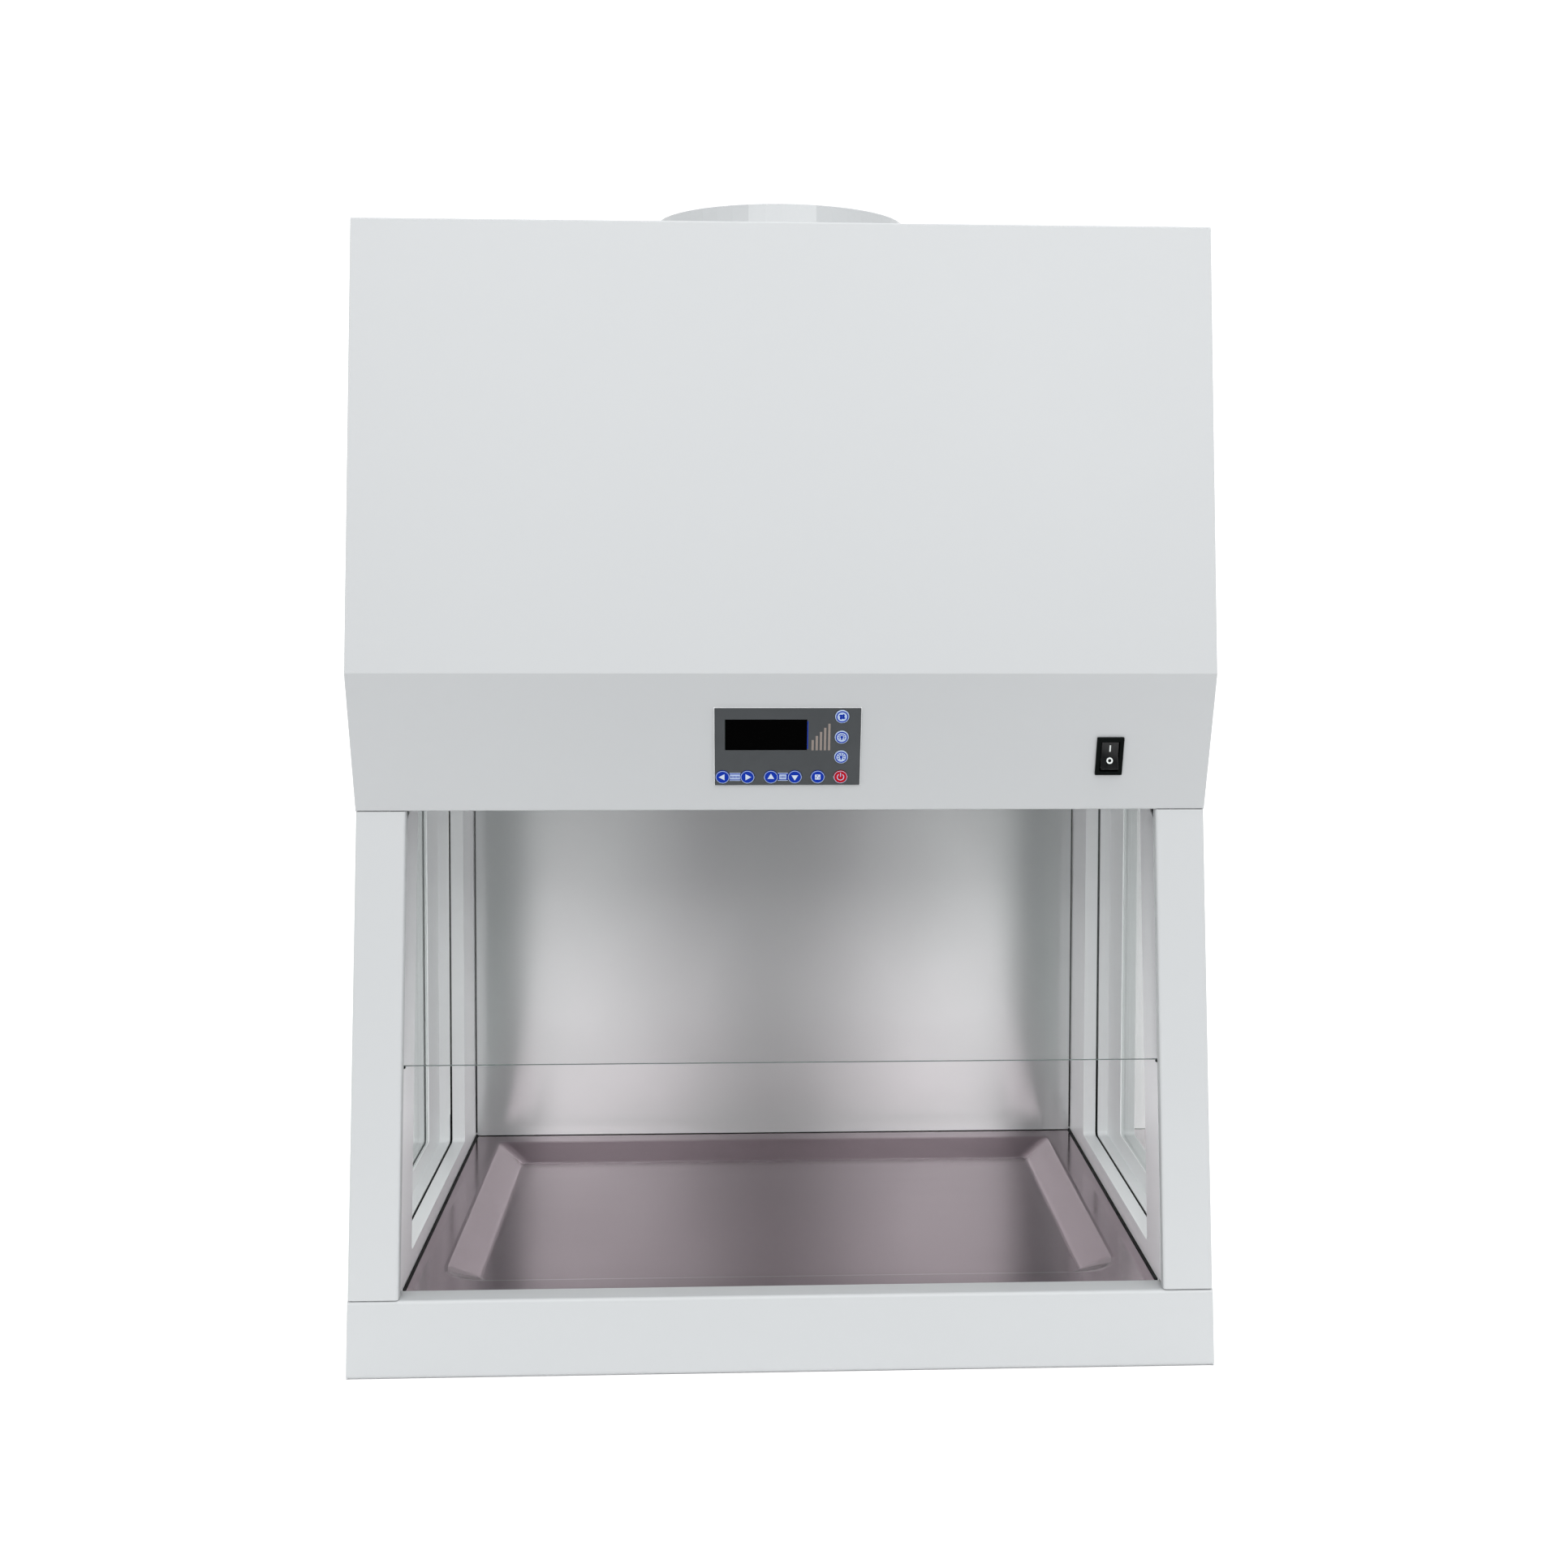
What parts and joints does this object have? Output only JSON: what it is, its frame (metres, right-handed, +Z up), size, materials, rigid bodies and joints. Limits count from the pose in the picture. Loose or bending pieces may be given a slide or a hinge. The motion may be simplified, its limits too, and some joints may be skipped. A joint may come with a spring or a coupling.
{
  "type": "bench-top fume hood",
  "caption": "Bench-top ducted fume hood with a sliding glass sash, side windows, dished work surface, control panel with push keys and a roof exhaust collar.",
  "frame": {"origin": "middle of the footprint, on the surface the hood stands on", "axes": "+Z up, +X to the viewer's right, the open front faces -Y"},
  "size_m": [1, 0.7494, 1.375],
  "materials": {
    "case_paint": "light grey semi-gloss powder coat, fine texture",
    "steel_satin": "satin stainless steel",
    "steel_polished": "polished stainless steel, mirror-like",
    "galvanised": "galvanised sheet",
    "aluminium": "bare, satin",
    "clear_glass": "clear float glass",
    "black_rubber": "matt black",
    "trim_paint": "near-white semi-gloss powder coat",
    "grey_rubber": "light grey glazing seal",
    "black_plastic": "satin black",
    "panel_film": "dark grey film, satin",
    "display_black": "gloss black window",
    "key_blue": "royal blue",
    "key_red": "signal red",
    "key_pale": "pale with a blue ring",
    "board_green": "circuit board",
    "lamp_white": "white moulded lamp body"
  },
  "bodies": {
    "hood": {"base_front": "case_paint", "base_left": "case_paint", "base_right": "case_paint", "base_rear": "case_paint", "post_left": "case_paint", "post_right": "case_paint", "side_panel_left": "case_paint", "side_panel_right": "case_paint", "rear_cover": "case_paint", "front_cover": "case_paint", "roof_panel": "case_paint", "exhaust_collar": "case_paint", "window_frame_left": "trim_paint", "window_frame_right": "trim_paint", "window_seal_left": "grey_rubber", "window_seal_right": "grey_rubber", "side_liner_left": "steel_satin", "side_liner_right": "steel_satin", "back_liner": "steel_satin", "chamber_ceiling": "steel_satin", "exhaust_grille": "steel_satin", "work_surface": "steel_polished", "fan_housing": "galvanised", "fan_motor": "aluminium", "sash_motor": "aluminium", "side_glass_left": "clear_glass", "side_glass_right": "clear_glass", "lamp_tube": "clear_glass", "window_gasket_left": "black_rubber", "window_gasket_right": "black_rubber", "floor_seal_left": "black_rubber", "floor_seal_right": "black_rubber", "belt_left": "black_rubber", "belt_right": "black_rubber", "sash_guide_left": "black_plastic", "sash_guide_right": "black_plastic", "switch_housing": "black_plastic", "mains_inlet": "black_plastic", "control_plate": "panel_film", "display_window": "display_black", "control_board": "board_green", "lamp_housing": "lamp_white"},
    "sash": {"sash_glass": "clear_glass", "sash_rail": "aluminium", "sash_shoe_left": "black_plastic", "sash_shoe_right": "black_plastic"},
    "drive_shaft": {"drive_shaft": "aluminium"},
    "idler_left": {"idler_left": "aluminium"},
    "idler_right": {"idler_right": "aluminium"},
    "impeller": {"impeller": "aluminium"},
    "rocker": {"switch_rocker": "black_plastic"},
    "key_fan": {"key_fan": "key_pale"},
    "key_light": {"key_light": "key_pale"},
    "key_uv": {"key_uv": "key_pale"},
    "key_power": {"key_power": "key_red"},
    "key_socket": {"key_socket": "key_blue"},
    "key_sash_down": {"key_sash_down": "key_blue"},
    "key_sash_up": {"key_sash_up": "key_blue"},
    "key_speed_up": {"key_speed_up": "key_blue"},
    "key_speed_down": {"key_speed_down": "key_blue"}
  },
  "joints": [
    {"name": "sash_slide", "type": "slide", "parent": "hood", "child": "sash", "axis": [0, 0.1249, 0.9922], "range_m": [-0.252, 0.289]},
    {"name": "drive_shaft_spin", "type": "hinge", "parent": "hood", "child": "drive_shaft", "pos_m": [0, -0.22143, 1.27581], "axis": [1, 0, 0], "range_deg": [-930, 1060]},
    {"name": "idler_left_spin", "type": "hinge", "parent": "hood", "child": "idler_left", "pos_m": [-0.456, -0.29176, 0.71722], "axis": [1, 0, 0], "range_deg": [-930, 1060]},
    {"name": "idler_right_spin", "type": "hinge", "parent": "hood", "child": "idler_right", "pos_m": [0.456, -0.29176, 0.71722], "axis": [1, 0, 0], "range_deg": [-930, 1060]},
    {"name": "impeller_spin", "type": "hinge", "parent": "hood", "child": "impeller", "pos_m": [0, 0, 0.9], "axis": [0, 0, 1], "continuous": true},
    {"name": "rocker_tilt", "type": "hinge", "parent": "hood", "child": "rocker", "pos_m": [0.3815, -0.31254, 0.70841], "axis": [1, 0, 0], "range_deg": [0, 22]},
    {"name": "key_fan_press", "type": "slide", "parent": "hood", "child": "key_fan", "axis": [0, 0.9465, 0.3228], "range_m": [0, 0.0005], "stiffness_N_per_m": 800},
    {"name": "key_light_press", "type": "slide", "parent": "hood", "child": "key_light", "axis": [0, 0.9465, 0.3228], "range_m": [0, 0.0005], "stiffness_N_per_m": 800},
    {"name": "key_uv_press", "type": "slide", "parent": "hood", "child": "key_uv", "axis": [0, 0.9465, 0.3228], "range_m": [0, 0.0005], "stiffness_N_per_m": 800},
    {"name": "key_power_press", "type": "slide", "parent": "hood", "child": "key_power", "axis": [0, 0.9465, 0.3228], "range_m": [0, 0.0005], "stiffness_N_per_m": 800},
    {"name": "key_socket_press", "type": "slide", "parent": "hood", "child": "key_socket", "axis": [0, 0.9465, 0.3228], "range_m": [0, 0.0005], "stiffness_N_per_m": 800},
    {"name": "key_sash_down_press", "type": "slide", "parent": "hood", "child": "key_sash_down", "axis": [0, 0.9465, 0.3228], "range_m": [0, 0.0005], "stiffness_N_per_m": 800},
    {"name": "key_sash_up_press", "type": "slide", "parent": "hood", "child": "key_sash_up", "axis": [0, 0.9465, 0.3228], "range_m": [0, 0.0005], "stiffness_N_per_m": 800},
    {"name": "key_speed_up_press", "type": "slide", "parent": "hood", "child": "key_speed_up", "axis": [0, 0.9465, 0.3228], "range_m": [0, 0.0005], "stiffness_N_per_m": 800},
    {"name": "key_speed_down_press", "type": "slide", "parent": "hood", "child": "key_speed_down", "axis": [0, 0.9465, 0.3228], "range_m": [0, 0.0005], "stiffness_N_per_m": 800}
  ],
  "couplings": [
    {"joint": "drive_shaft_spin", "follows": "sash_slide", "rad_per_m": 62.5},
    {"joint": "idler_left_spin", "follows": "sash_slide", "rad_per_m": 62.5},
    {"joint": "idler_right_spin", "follows": "sash_slide", "rad_per_m": 62.5}
  ]
}
